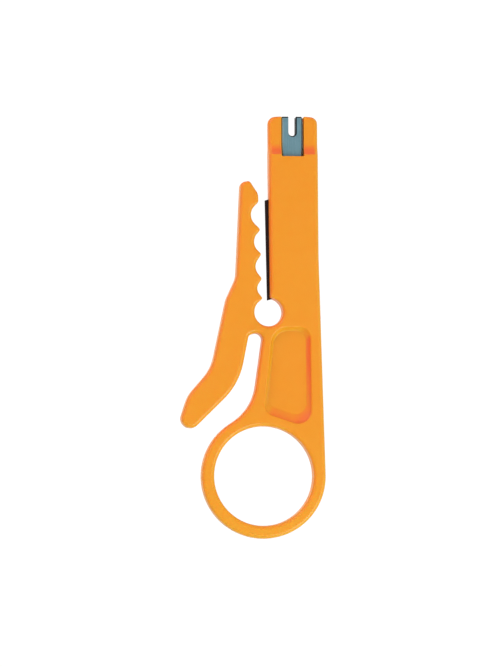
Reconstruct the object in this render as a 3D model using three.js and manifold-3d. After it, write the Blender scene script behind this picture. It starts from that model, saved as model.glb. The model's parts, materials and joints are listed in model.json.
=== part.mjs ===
// A pocket cable stripper and punch-down tool, in millimetres.
//
// One flat plastic moulding makes the spine, the finger ring and the sprung jaw. The jaw joins the
// spine only through a short web between a round relief hole and a long slot, and that web bends.
// Two steel inserts do the work: a strip blade in the spine's edge, which faces the jaw's notches,
// and a folded punch blade with a forked end in the tip.
//
// The tool lies on its back face: +Z is its thickness, +Y points to the punch tip, and the origin
// is the middle of its footprint. Both faces of the plastic are alike.

import * as THREE from 'three';
import { mergeVertices } from 'three/addons/utils/BufferGeometryUtils.js';
import Module from 'manifold-3d';

const wasm = await Module();
wasm.setup();

// ---- Driving dimensions ----

const THICKNESS = 5.5;
const MIDDLE = THICKNESS / 2;
const EDGE = 0.3; // chamfer on the moulding's outer edges
const CHORD_ERROR = 0.005; // how far a faceted arc may stand off the true arc
const FIT_GAP = 0.05; // clearance round each steel insert
const OVERSHOOT = 2; // how far a cutter passes the face it cuts

// Circles are [x, y, r]. In an outline, r > 0 is a convex corner, r < 0 a hollow one and 0 a sharp
// one.

const TIP_RIGHT = [12.77, 45.6, 1.65];
const TIP_LEFT = [4.96, 45.6, 1.65];
const SPINE_CORNER = [4.13, 6.87, 0.35];
const RELIEF_HOLE = [3.4, 3.44, -3.14];
const FINGER_RING = [2.32, -33.1, 13.85];
const FINGER_HOLE = [2.36, -33.04, 11.05];
const SPINE_WAIST = [74.62, 17, -60]; // the spine's long edge bends in by one degree here
const NECK = [-10.66, -11.5, -11.3]; // hollow side of the neck between slot and ring
const SLOT_END_LEFT = [-0.19, -2.46, -0.96];
const SLOT_END_RIGHT = [0.59, -2.66, -1.38];

// The jaw's toothed edge, from the relief hole up to the nose: tooth, hollow, tooth, hollow ...
const JAW_TEETH = [
  [1.62, 6.46, 0.35],
  [2.86, 8.71, -1.96],
  [1.2, 10.8, 0.6],
  [3.01, 13.58, -2.5],
  [1.06, 16.25, 0.6],
  [2.96, 19.12, -2.77],
  [0.82, 21.75, 0.6],
  [2.33, 25.15, -2.85],
  [0.77, 28.07, 0.33],
];

const JAW_NOSE = [
  [-1.13, 29.12, 2.23],
  [-1.24, 31.88, 0.78],
  [-1.82, 31.44, 1.12],
];

// The jaw's back, from the nose down to the end of the thumb lever and up its inner side.
const JAW_BACK = [
  [-9.16, 12.4, -5.36],
  [-0.95, 4.6, 5.36],
  [-18.64, -4.5, -10.05],
  [-7.63, -19.1, 7.81],
  [-13.95, -20.28, 2.15],
  [-17.56, -4.88, 15.63],
];

const WEB_HALF_WIDTH = 1.2; // half the length of web that bends, from jaw to spine
const WEB_REACH = 2.4; // how far the web's two cuts run, past both of its free sides

// A line through open air between the jaw and the rest, from above the nose to left of the ring.
const JAW_SIDE = 2.4;
const AIR_ABOVE_WEB = [[-40, 60], [JAW_SIDE, 60], [JAW_SIDE, 7.2], RELIEF_HOLE];
const AIR_BELOW_WEB = [[0.2, -3.3], [-1.3, -11], [-4, -16.5], [-9.5, -22.5], [-40, -30]];

// The tip is thinner than the spine: an arc on each face runs down to it.
const TIP_THICKNESS = 3.2;
const TIP_RAMP_END = 38.7;
const TIP_RAMP_RADIUS = 4;

// Thumb pocket on each face.
const POCKET_CORNERS = [
  [7.7, -3.75, 3.7],
  [4.9, -17.33, 2.3],
  [9.9, -18.37, 2.9],
  [10.18, -2.51, 2.46],
];
const POCKET_DEPTH = 1.2;
const POCKET_WALL = 1.1;
const POCKET_WALL_STEPS = 3;

// Punch blade: sheet steel folded to a channel that opens to the right. Its back leg is the wider
// one and closes the gap beside the front leg from behind.
const PUNCH_LEFT = 6.4;
const PUNCH_WIDTH = 4.45;
const PUNCH_BACK_WIDTH = 4.85;
const PUNCH_SHEET = 0.85;
const PUNCH_FOLD = 0.45; // outer rounding of the fold
const PUNCH_ROOT = 34;
const PUNCH_END = 47.2;
const PUNCH_NOTCH = [8.7, 43.7, 0.83];
const PUNCH_KEY = [8.7, 36.1, 0.8];
const WINDOW_ROOT = 38.3;

// Strip blade: its long edge is ground to a wedge and stands out of the spine's side.
const STRIP_ROOT = [3.17, 6.1];
const STRIP_LENGTH = 22.4;
const STRIP_WIDTH = 4.2;
const STRIP_THICKNESS = 0.5;
const STRIP_WEDGE = 0.6;
const STRIP_END_SLANT = THREE.MathUtils.degToRad(15);
const STRIP_LEAN = THREE.MathUtils.degToRad(1.3);
const STRIP_KEY_RADIUS = 0.8;
const STRIP_KEYS = [[2.6, 6.5], [2.6, 18.1]];

const PLASTIC_COLOR = 0xf39d31;
const PUNCH_STEEL_COLOR = 0x6c9096;
const STRIP_STEEL_COLOR = 0x231a1a;

// ---- Outlines ----

// The heading of the straight line that leaves one circle and meets the next.
function tangentHeading([x1, y1, r1], [x2, y2, r2]) {
  const slant = Math.asin((r1 - r2) / Math.hypot(x2 - x1, y2 - y1));
  return Math.atan2(y2 - y1, x2 - x1) + slant;
}

function arcSteps(radius, sweep) {
  const step = 2 * Math.acos(1 - CHORD_ERROR / Math.abs(radius));
  return Math.max(1, Math.ceil(Math.abs(sweep) / step));
}

function arcPoints([x, y, r], arrive, leave) {
  if (r === 0) {
    return [new THREE.Vector2(x, y)];
  }
  const turn = Math.sign(r) * (leave - arrive);
  const full = 2 * Math.PI;
  const sweep = Math.sign(r) * (((turn % full) + full) % full);
  const steps = arcSteps(r, sweep);
  return Array.from({ length: steps + 1 }, (_, i) => {
    const heading = arrive + (sweep * i) / steps;
    return new THREE.Vector2(x + r * Math.sin(heading), y - r * Math.cos(heading));
  });
}

// Goes anticlockwise round a closed row of circles and joins each to the next by their tangent.
function roundOutline(circles) {
  const count = circles.length;
  const headings = circles.map((circle, i) => tangentHeading(circle, circles[(i + 1) % count]));
  return circles.flatMap((circle, i) => {
    return arcPoints(circle, headings[(i + count - 1) % count], headings[i]);
  });
}

function circleOutline([x, y, r]) {
  const radius = Math.abs(r);
  const steps = arcSteps(radius, 2 * Math.PI);
  return Array.from({ length: steps }, (_, i) => {
    const angle = (2 * Math.PI * i) / steps;
    return new THREE.Vector2(x + radius * Math.cos(angle), y + radius * Math.sin(angle));
  });
}

function cornerOutline(corners) {
  return corners.map(([x, y]) => new THREE.Vector2(x, y));
}

function boxOutline(left, bottom, right, top) {
  return cornerOutline([[left, bottom], [right, bottom], [right, top], [left, top]]);
}

// ---- Solids ----

function toSolid(geometry) {
  const bare = geometry.clone();
  bare.deleteAttribute('normal');
  bare.deleteAttribute('uv');
  const merged = mergeVertices(bare);
  const vertProperties = new Float32Array(merged.attributes.position.array);
  const triVerts = new Uint32Array(merged.index.array);
  return new wasm.Manifold(new wasm.Mesh({ numProp: 3, vertProperties, triVerts }));
}

function toGeometry(solid) {
  const mesh = solid.getMesh();
  const geometry = new THREE.BufferGeometry();
  geometry.setAttribute('position', new THREE.BufferAttribute(mesh.vertProperties, 3));
  geometry.setIndex(new THREE.BufferAttribute(mesh.triVerts, 1));
  geometry.computeVertexNormals();
  return geometry;
}

// A plate of one outline, standing on Z = bottom.
function plate(outline, bottom, top) {
  const shape = new THREE.Shape(outline);
  const geometry = new THREE.ExtrudeGeometry(shape, { depth: top - bottom, bevelEnabled: false });
  return geometry.translate(0, 0, bottom);
}

function throughPlate(outline) {
  return toSolid(plate(outline, -OVERSHOOT, THICKNESS + OVERSHOOT));
}

// A bar whose (x, z) section runs along Y.
function barAlongY(section, start, end) {
  const bar = plate(section, 0, end - start);
  return bar.rotateX(Math.PI / 2).translate(0, end, 0);
}

// A bar whose (y, z) section runs along X.
function barAlongX(section, start, end) {
  const bar = plate(section, 0, end - start);
  return bar.rotateX(Math.PI / 2).rotateZ(Math.PI / 2).translate(start, 0, 0);
}

// ---- The moulding ----

function mouldingBlank() {
  const shape = new THREE.Shape(roundOutline([
    FINGER_RING,
    SPINE_WAIST,
    TIP_RIGHT,
    TIP_LEFT,
    SPINE_CORNER,
    RELIEF_HOLE,
    ...JAW_TEETH,
    ...JAW_NOSE,
    ...JAW_BACK,
    SLOT_END_LEFT,
    SLOT_END_RIGHT,
    NECK,
  ]));
  shape.holes.push(new THREE.Path(circleOutline(FINGER_HOLE)));
  const geometry = new THREE.ExtrudeGeometry(shape, {
    depth: THICKNESS - 2 * EDGE,
    bevelThickness: EDGE,
    bevelSize: EDGE,
    bevelOffset: -EDGE,
    bevelSegments: 1,
  });
  return toSolid(geometry.translate(0, 0, EDGE));
}

// The web is narrowest between the relief hole and the slot's end; it bends about this place.
// u runs from jaw to spine, and v from the relief hole to the slot.
function webPoint(u, v) {
  const [holeX, holeY, holeR] = RELIEF_HOLE;
  const [slotX, slotY, slotR] = SLOT_END_RIGHT;
  const span = Math.hypot(slotX - holeX, slotY - holeY);
  const [dx, dy] = [(slotX - holeX) / span, (slotY - holeY) / span];
  const middle = (span - holeR + slotR) / 2;
  return [holeX + dx * (middle + v) - dy * u, holeY + dy * (middle + v) + dx * u];
}

// Everything on the jaw's side of a straight cut across the web at u.
function jawSide(u) {
  return throughPlate(cornerOutline([
    ...AIR_ABOVE_WEB,
    webPoint(u, -WEB_REACH),
    webPoint(u, WEB_REACH),
    ...AIR_BELOW_WEB,
  ]));
}

// Everything above the thinner tip on one face: side is 1 for the front and -1 for the back.
function tipRecess(side) {
  const depth = (THICKNESS - TIP_THICKNESS) / 2;
  const length = Math.sqrt(TIP_RAMP_RADIUS ** 2 - (TIP_RAMP_RADIUS - depth) ** 2);
  const sweep = Math.asin(length / TIP_RAMP_RADIUS);
  const steps = arcSteps(TIP_RAMP_RADIUS, sweep);
  const ramp = Array.from({ length: steps + 1 }, (_, i) => {
    const angle = (sweep * i) / steps;
    const y = TIP_RAMP_END + length - TIP_RAMP_RADIUS * Math.sin(angle);
    return [y, TIP_THICKNESS / 2 + TIP_RAMP_RADIUS * (1 - Math.cos(angle))];
  });
  const top = MIDDLE + OVERSHOOT;
  const beyond = TIP_LEFT[1] + TIP_LEFT[2] + OVERSHOOT;
  const section = [[beyond, TIP_THICKNESS / 2], ...ramp, [TIP_RAMP_END, top], [beyond, top]];
  const placed = section.map(([y, z]) => [y, MIDDLE + side * z]);
  return toSolid(barAlongX(cornerOutline(placed), 0, TIP_RIGHT[0] + TIP_RIGHT[2] + OVERSHOOT));
}

// The pocket's wall curves in towards its floor. bottom is where the full outline starts.
function thumbPocket(bottom) {
  const geometry = new THREE.ExtrudeGeometry(new THREE.Shape(roundOutline(POCKET_CORNERS)), {
    depth: OVERSHOOT,
    bevelThickness: POCKET_DEPTH,
    bevelSize: POCKET_WALL,
    bevelOffset: -POCKET_WALL,
    bevelSegments: POCKET_WALL_STEPS,
  });
  return toSolid(geometry.translate(0, 0, bottom));
}

// ---- Punch blade and the cavity that holds it ----

// The cavity that holds the punch blade: a pocket in the spine, and a window through the tip.
function punchCavity() {
  const left = PUNCH_LEFT - FIT_GAP;
  const right = PUNCH_LEFT + PUNCH_BACK_WIDTH + FIT_GAP;
  const half = TIP_THICKNESS / 2 + FIT_GAP;
  const section = boxOutline(left, MIDDLE - half, right, MIDDLE + half);
  const pocket = toSolid(barAlongY(section, PUNCH_ROOT - FIT_GAP, WINDOW_ROOT + OVERSHOOT));
  const end = TIP_LEFT[1] + TIP_LEFT[2] + OVERSHOOT;
  return pocket.add(throughPlate(boxOutline(left, WINDOW_ROOT, right, end)));
}

function punchSection() {
  const front = PUNCH_LEFT + PUNCH_WIDTH;
  const back = PUNCH_LEFT + PUNCH_BACK_WIDTH;
  const half = TIP_THICKNESS / 2;
  const inside = PUNCH_LEFT + PUNCH_SHEET;
  const foldX = PUNCH_LEFT + PUNCH_FOLD;
  const foldZ = half - PUNCH_FOLD;
  return roundOutline([
    [foldX, MIDDLE - foldZ, PUNCH_FOLD],
    [back, MIDDLE - half, 0],
    [back, MIDDLE - half + PUNCH_SHEET, 0],
    [inside, MIDDLE - half + PUNCH_SHEET, 0],
    [inside, MIDDLE + half - PUNCH_SHEET, 0],
    [front, MIDDLE + half - PUNCH_SHEET, 0],
    [front, MIDDLE + half, 0],
    [foldX, MIDDLE + foldZ, PUNCH_FOLD],
  ]);
}

function punchBladeSolid() {
  const [x, y, r] = PUNCH_NOTCH;
  const beyond = PUNCH_END + OVERSHOOT;
  const notch = roundOutline([PUNCH_NOTCH, [x + r, beyond, 0], [x - r, beyond, 0]]);
  return toSolid(barAlongY(punchSection(), PUNCH_ROOT, PUNCH_END))
    .subtract(throughPlate(notch))
    .subtract(throughPlate(circleOutline(PUNCH_KEY)));
}

// ---- Strip blade, drawn with its cutting edge on X = 0 and its root corner on the origin ----

function placeStrip(geometry) {
  return geometry.rotateZ(STRIP_LEAN).translate(STRIP_ROOT[0], STRIP_ROOT[1], 0);
}

// The slanted strip between two lines along the blade, grown by a gap at both of its ends.
function stripPlan(left, right, gap) {
  const slope = Math.tan(STRIP_END_SLANT);
  const spare = gap / Math.cos(STRIP_END_SLANT);
  return cornerOutline([
    [left, left * slope - spare],
    [right, right * slope - spare],
    [right, right * slope + STRIP_LENGTH + spare],
    [left, left * slope + STRIP_LENGTH + spare],
  ]);
}

function stripSection() {
  const half = STRIP_THICKNESS / 2;
  return cornerOutline([
    [0, MIDDLE],
    [STRIP_WEDGE, MIDDLE - half],
    [STRIP_WIDTH, MIDDLE - half],
    [STRIP_WIDTH, MIDDLE + half],
    [STRIP_WEDGE, MIDDLE + half],
  ]);
}

function stripBladeSolid() {
  const bar = barAlongY(stripSection(), -STRIP_WIDTH, STRIP_LENGTH + STRIP_WIDTH);
  const plan = plate(stripPlan(0, STRIP_WIDTH, 0), 0, THICKNESS);
  const blank = toSolid(placeStrip(bar)).intersect(toSolid(placeStrip(plan)));
  return STRIP_KEYS.reduce((solid, [x, y]) => {
    const hole = plate(circleOutline([x, y, STRIP_KEY_RADIUS]), 0, THICKNESS);
    return solid.subtract(toSolid(placeStrip(hole)));
  }, blank);
}

function stripCavity() {
  const half = STRIP_THICKNESS / 2 + FIT_GAP;
  const outline = stripPlan(-OVERSHOOT, STRIP_WIDTH + FIT_GAP, FIT_GAP);
  return toSolid(placeStrip(plate(outline, MIDDLE - half, MIDDLE + half)));
}

// ---- The moulding's three parts ----

// A moulded post that fills a blade's key hole.
function keyPost([x, y, r]) {
  return plate(circleOutline([x, y, r - FIT_GAP]), EDGE, THICKNESS - EDGE);
}

function handleBodySolid(blank) {
  const [keyX, keyY, keyR] = PUNCH_KEY;
  const body = blank
    .subtract(jawSide(WEB_HALF_WIDTH))
    .subtract(tipRecess(1))
    .subtract(tipRecess(-1))
    .subtract(thumbPocket(THICKNESS))
    .subtract(thumbPocket(-OVERSHOOT))
    .subtract(punchCavity())
    .subtract(stripCavity())
    .add(toSolid(keyPost([keyX, keyY, keyR])));
  return STRIP_KEYS.reduce((solid, [x, y]) => {
    return solid.add(toSolid(placeStrip(keyPost([x, y, STRIP_KEY_RADIUS]))));
  }, body);
}

function node(name, solid, color, roughness, metalness) {
  const material = new THREE.MeshStandardMaterial({ color, roughness, metalness });
  const mesh = new THREE.Mesh(toGeometry(solid), material);
  mesh.name = name;
  return mesh;
}

const blank = mouldingBlank();
const jawSolid = blank.intersect(jawSide(-WEB_HALF_WIDTH));
const webSolid = blank.intersect(jawSide(WEB_HALF_WIDTH)).subtract(jawSide(-WEB_HALF_WIDTH));
const frame = new THREE.Group();
frame.add(
  node('handle_body', handleBodySolid(blank), PLASTIC_COLOR, 0.45, 0),
  node('hinge_web', webSolid, PLASTIC_COLOR, 0.45, 0),
  node('strip_blade', stripBladeSolid(), STRIP_STEEL_COLOR, 0.4, 0.9),
  node('punch_blade', punchBladeSolid(), PUNCH_STEEL_COLOR, 0.35, 0.9),
);
const jaw = new THREE.Group();
jaw.add(node('jaw_arm', jawSolid, PLASTIC_COLOR, 0.45, 0));

const tool = new THREE.Group();
tool.add(frame, jaw);

export default tool;
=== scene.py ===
"""Looks for a pocket cable stripper and punch-down tool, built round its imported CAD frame.

The plastic is one moulding in three shells that meet without a seam: the handle, the jaw, and the
web that bends between them. Their outline is sliced from the CAD nodes and given rounded edges, a
parting line, the thumb pockets and the thin tip. The two steel inserts are the CAD solids with
ground edges. Shapes are worked out in millimetres and written to the meshes in metres.
"""

import json
import math

import bmesh
import bpy
import numpy as np
from mathutils import Matrix, Vector
from mathutils.geometry import delaunay_2d_cdt


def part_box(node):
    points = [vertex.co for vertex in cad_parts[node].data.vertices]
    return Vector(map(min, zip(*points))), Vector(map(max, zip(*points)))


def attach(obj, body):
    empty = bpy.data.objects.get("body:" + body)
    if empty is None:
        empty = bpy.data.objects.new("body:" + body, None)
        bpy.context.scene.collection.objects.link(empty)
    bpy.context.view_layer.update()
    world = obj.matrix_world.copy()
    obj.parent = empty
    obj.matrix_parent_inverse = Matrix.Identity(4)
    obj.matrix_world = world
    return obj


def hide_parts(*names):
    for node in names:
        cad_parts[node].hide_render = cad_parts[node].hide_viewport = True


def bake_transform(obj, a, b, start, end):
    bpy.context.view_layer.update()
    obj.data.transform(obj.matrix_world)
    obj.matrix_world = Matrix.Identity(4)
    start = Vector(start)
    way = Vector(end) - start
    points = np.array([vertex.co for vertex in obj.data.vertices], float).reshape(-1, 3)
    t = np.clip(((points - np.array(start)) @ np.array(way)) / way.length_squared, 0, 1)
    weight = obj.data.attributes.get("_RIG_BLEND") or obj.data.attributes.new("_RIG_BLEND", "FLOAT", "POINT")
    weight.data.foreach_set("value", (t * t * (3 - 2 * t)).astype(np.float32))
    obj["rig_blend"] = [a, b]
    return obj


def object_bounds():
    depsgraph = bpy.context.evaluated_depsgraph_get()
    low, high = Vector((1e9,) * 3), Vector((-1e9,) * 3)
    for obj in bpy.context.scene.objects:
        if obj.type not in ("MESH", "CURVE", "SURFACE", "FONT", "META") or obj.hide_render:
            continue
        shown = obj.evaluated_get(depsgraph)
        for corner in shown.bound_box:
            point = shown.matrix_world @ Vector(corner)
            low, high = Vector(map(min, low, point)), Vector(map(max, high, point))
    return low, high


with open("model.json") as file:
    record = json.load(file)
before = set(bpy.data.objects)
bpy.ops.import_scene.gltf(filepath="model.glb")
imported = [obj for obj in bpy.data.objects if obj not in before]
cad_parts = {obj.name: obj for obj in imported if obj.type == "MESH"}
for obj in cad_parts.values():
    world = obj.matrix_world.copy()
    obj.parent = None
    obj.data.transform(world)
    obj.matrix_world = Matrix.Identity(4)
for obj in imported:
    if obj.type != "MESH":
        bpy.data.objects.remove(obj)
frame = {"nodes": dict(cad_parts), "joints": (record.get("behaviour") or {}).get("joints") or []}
cad_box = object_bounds()

MM = 0.001
PLASTIC_NODES = ("handle_body", "hinge_web", "jaw_arm")

# ---- Moulding, in millimetres ----

EDGE_RADIUS = 0.85  # rounding between the sides and the faces
EDGE_SHARE = 0.8  # of the outline's own radius, where a convex corner is tighter than the edge
WINDOW_EDGE = 0.1  # rounding along the punch blade's window
SMALLEST_EDGE = 0.03
EDGE_STEPS = 7
EDGE_FADE = 0.35  # how softly the edge radius changes along the outline
CORNER_SOFTNESS = 0.13  # rounds the outline's sharp corners, such as the window's
RAMP_SOFTNESS = 0.12  # rounds the crease where the tip's ramp leaves the face
DRAFT = math.tan(math.radians(1.0))
SIDE_LEVELS = (0.75, 0.45, 0.2)  # rows between the edge and the parting line, as shares of the way

# The parting ridge, with rows at a share of its half width and height and with a tilted normal.
PARTING_RIDGE = 0.02
PARTING_HALF_WIDTH = 0.07
PARTING_ROWS = ((-1, 0, 0), (-0.5, 0.5, -0.3), (0, 1, 0), (0.5, 0.5, 0.3), (1, 0, 0))

POCKET_RIM = 0.4
POCKET_DEPTH = 1.2
POCKET_WALLS = {"left": 0.8, "right": 1.05, "bottom": 2.2, "top": 0.8}
RIM_STEPS = 5
WALL_STEPS = 9
WALL_STRAIGHTNESS = 0.75  # 1 is a flat slope, and 0 a quarter round
WALL_FOOT = 0.85  # from here on the wall's shading turns into the floor's

# Round marks of the mould's ejector pins on the back face: place as a share of the moulding's box.
EJECTOR_MARKS = ((0.795, 0.83), (0.787, 0.585), (0.35, 0.47), (0.58, 0.255))
MARK_RADIUS = 1.1
MARK_DEPTH = 0.06
MARK_SLOPE = 0.12
MARK_CORNERS = 36
MARK_RINGS = (0, 0.33, 0.67, 1, 3)  # rings of points, counted inwards in widths of the slope
MARK_CORE = 0.4  # the innermost ring, as a share of the mark's radius
MARK_MARGIN = 0.15

# How the CAD is read.
SLICE_LEVEL = 2.2  # clears the strip blade's slit
RIM_SLICE = 0.01  # how far under the face the pocket's outline is sliced
BESIDE_BLADE = 1.0  # corners this near the punch blade's sides belong to its window and ramp
ON_FACE = 1e-3  # how near a corner stands to a face that it belongs to
ON_CUT = 5e-3  # how near a segment stands to a cut through the web that it belongs to
SAME_PLACE = 2e-3
STRAIGHT_TURN = math.radians(0.2)
SHARP_TURN = math.radians(35)  # a corner that turns more than this stays sharp
MUCH_LONGER = 3.0  # a side this many times as long as its neighbour is straight
WINDOW_MARGIN = 0.1
WINDOW_HIDDEN = 8.0  # how far the punch blade's cavity goes on inside the spine, at most

# Spacing of points along the outlines.
FINE_STEP = 0.03
SHORTEST_STEP = 0.06
LONGEST_STEP = 0.35
WEB_STEP = 0.15
RAMP_STEP = 0.2
CREASE_STEP = 0.07
ARC_STEP = math.radians(11)
STEP_REACH = 0.1  # a short step also shortens the steps within this distance
BEND_REACH = 0.12  # a tight bend also limits the edge radius within this distance
LEAST_BEND = 1e-6  # keeps a straight side's radius finite

# Spacing of points over the faces.
GRID_STEP = 0.5
GRID_ROWS = 0.87  # distance between the grid's rows, as a share of its step
GRID_MARGIN = 0.16  # the grid keeps this far from every outline
RAMP_MARGIN = 0.3  # how far closer points run past both ends of the tip's ramp
RAMP_START = 0.35  # from the crease to the first row of points on the ramp
CREASE_ROWS = 0.08
SLOPE_STEP = 0.01  # each way from a point, to measure how its face slopes
BATCH = 500  # points measured at a time

WEB_AROUND = 4.0  # radius of the finer outline round the hinge
WEB_REACH = 3.0  # how far the web's faces stand from the hinge line, at most
CUT_REACH = 1.0  # faces this near a cut through the web are tested for it


def smoothstep(low, high, value):
    """Rises softly from 0 at low to 1 at high."""
    t = np.clip((value - low) / (high - low), 0, 1)
    return t * t * (3 - 2 * t)


# ---- Outlines, sliced from the CAD ----


def cad_triangles(node):
    """Corners of a CAD node's triangles in millimetres, as an array of (triangle, corner, axis)."""
    mesh = frame["nodes"][node].data
    mesh.calc_loop_triangles()
    points = np.array([v.co for v in mesh.vertices], float) / MM
    return points[np.array([t.vertices for t in mesh.loop_triangles])]


def level_segments(triangles, level):
    """Directed segments where a surface crosses a level, with the material on their left."""
    above = triangles[:, :, 2] > level
    crossing = triangles[(above.sum(1) > 0) & (above.sum(1) < 3)]
    above = crossing[:, :, 2] > level
    lone = np.where(above.sum(1) == 1, above.argmax(1), (~above).argmax(1))
    rows = np.arange(len(crossing))
    tip = crossing[rows, lone]
    ends = []
    for turn in (1, 2):
        other = crossing[rows, (lone + turn) % 3]
        share = ((level - tip[:, 2]) / (other[:, 2] - tip[:, 2]))[:, None]
        ends.append((tip + (other - tip) * share)[:, :2])
    facing = np.cross(crossing[:, 1] - crossing[:, 0], crossing[:, 2] - crossing[:, 0])
    along = np.stack([-facing[:, 1], facing[:, 0]], 1)
    forward = ((ends[1] - ends[0]) * along).sum(1) > 0
    start = np.where(forward[:, None], ends[0], ends[1])
    end = np.where(forward[:, None], ends[1], ends[0])
    return start, end


def chain(start, end):
    """Closed loops made by joining each segment's end to the nearest start."""
    unused = np.ones(len(start), bool)
    loops = []
    while unused.any():
        first = here = int(unused.argmax())
        loop = []
        while True:
            unused[here] = False
            loop.append(start[here])
            gaps = np.hypot(*(start - end[here]).T)
            gaps[~unused] = np.inf
            gaps[first] = np.hypot(*(start[first] - end[here]))
            here = int(gaps.argmin())
            if here == first:
                break
        loops.append(np.array(loop))
    return loops


def signed_area(loop):
    """Area inside a closed loop, positive where it runs anticlockwise."""
    after = np.roll(loop, -1, 0)
    return 0.5 * (loop[:, 0] * after[:, 1] - loop[:, 1] * after[:, 0]).sum()


def turns(points):
    """Angle turned at each point of a closed loop, positive to the left."""
    ahead = np.roll(points, -1, 0) - points
    heading = np.arctan2(ahead[:, 1], ahead[:, 0])
    return (heading - np.roll(heading, 1) + np.pi) % (2 * np.pi) - np.pi


def without_spare_points(loop):
    """Drops points that repeat or that stand on a straight line."""
    apart = np.hypot(*(loop - np.roll(loop, 1, 0)).T) > SAME_PLACE
    loop = loop[apart]
    return loop[np.abs(turns(loop)) > STRAIGHT_TURN]


def measure_hinge():
    """The hinge's pivot, the unit direction along the web from the jaw to the handle, and where
    along it the web's two flat ends stand."""
    pivot = np.array(frame["joints"][0]["pos_m"][:2], float) / MM
    triangles = cad_triangles("hinge_web")
    facing = np.cross(triangles[:, 1] - triangles[:, 0], triangles[:, 2] - triangles[:, 0])
    upright = facing[abs(facing[:, 2]) < 1e-6][:, :2]
    widest = upright[np.hypot(*upright.T).argmax()]
    along = widest / np.hypot(*widest) * np.sign(widest[0])
    reach = (triangles.reshape(-1, 3)[:, :2] - pivot) @ along
    return pivot, along, (reach.min(), reach.max())


PIVOT, ALONG, CUTS = measure_hinge()


def moulding_loops(level):
    """The whole moulding's outline loops at a level, largest first."""
    starts, ends = [], []
    for node in PLASTIC_NODES:
        start, end = level_segments(cad_triangles(node), level)
        on_cut = np.zeros(len(start), bool)
        for cut in CUTS:
            off_cut = np.maximum(abs((start - PIVOT) @ ALONG - cut), abs((end - PIVOT) @ ALONG - cut))
            on_cut |= off_cut < ON_CUT
        starts.append(start[~on_cut])
        ends.append(end[~on_cut])
    loops = chain(np.concatenate(starts), np.concatenate(ends))
    return sorted(loops, key=lambda loop: -abs(signed_area(loop)))


# ---- Smooth contours ----


def point_tangents(points):
    """Unit tangents with which a loop arrives at and leaves each of its points.

    A point between a long side and a much shorter one takes the long side's direction, because the
    long side is straight and the short one starts an arc.
    """
    ahead = np.roll(points, -1, 0) - points
    length = np.hypot(*ahead.T)
    leave = ahead / length[:, None]
    arrive = np.roll(leave, 1, 0)
    before = np.roll(length, 1)
    through = arrive * length[:, None] + leave * before[:, None]
    through = np.where((before > MUCH_LONGER * length)[:, None], arrive, through)
    through = np.where((length > MUCH_LONGER * before)[:, None], leave, through)
    through /= np.hypot(*through.T)[:, None]
    sharp = (np.abs(turns(points)) > SHARP_TURN)[:, None]
    return np.where(sharp, arrive, through), np.where(sharp, leave, through)


def fine_loop(points):
    """The smooth curve through a loop's points, sampled finely and evenly."""
    arrive, leave = point_tangents(points)
    pieces = []
    for i, start in enumerate(points):
        end = points[(i + 1) % len(points)]
        length = math.dist(start, end)
        t = np.arange(0, 1, FINE_STEP / max(length, FINE_STEP))[:, None]
        pull_start = leave[i] * length
        pull_end = arrive[(i + 1) % len(points)] * length
        pieces.append(
            start * (2 * t**3 - 3 * t**2 + 1)
            + pull_start * (t**3 - 2 * t**2 + t)
            + end * (3 * t**2 - 2 * t**3)
            + pull_end * (t**3 - t**2)
        )
    return even_loop(np.concatenate(pieces), FINE_STEP)


def travelled(points):
    """Distance along a closed loop at each point, with the full length last."""
    steps = np.hypot(*(np.roll(points, -1, 0) - points).T)
    return np.concatenate([[0], np.cumsum(steps)])


def even_loop(points, spacing):
    """A closed loop sampled again at nearly the wanted spacing."""
    distance = travelled(points)
    count = int(distance[-1] / spacing)
    wanted = np.arange(count) * distance[-1] / count
    closed = np.vstack([points, points[:1]])
    return np.stack([np.interp(wanted, distance, closed[:, axis]) for axis in (0, 1)], 1)


def blurred(values, width):
    """Values round an evenly sampled loop, smoothed by a bell curve of a width in millimetres."""
    rates = np.fft.fftfreq(len(values), FINE_STEP)
    keep = np.exp(-2 * (np.pi * rates * width) ** 2)
    spectrum = np.fft.fft(values, axis=0)
    return np.fft.ifft((spectrum.T * keep).T, axis=0).real


def lowest_nearby(values, reach):
    """The lowest value within a reach in millimetres each way round an evenly sampled loop."""
    lowest = values
    shift = 1
    left = int(reach / FINE_STEP)
    while left > 0:
        shift = min(shift, left)
        lowest = np.minimum(lowest, np.minimum(np.roll(lowest, shift), np.roll(lowest, -shift)))
        left -= shift
        shift *= 2
    return lowest


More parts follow.
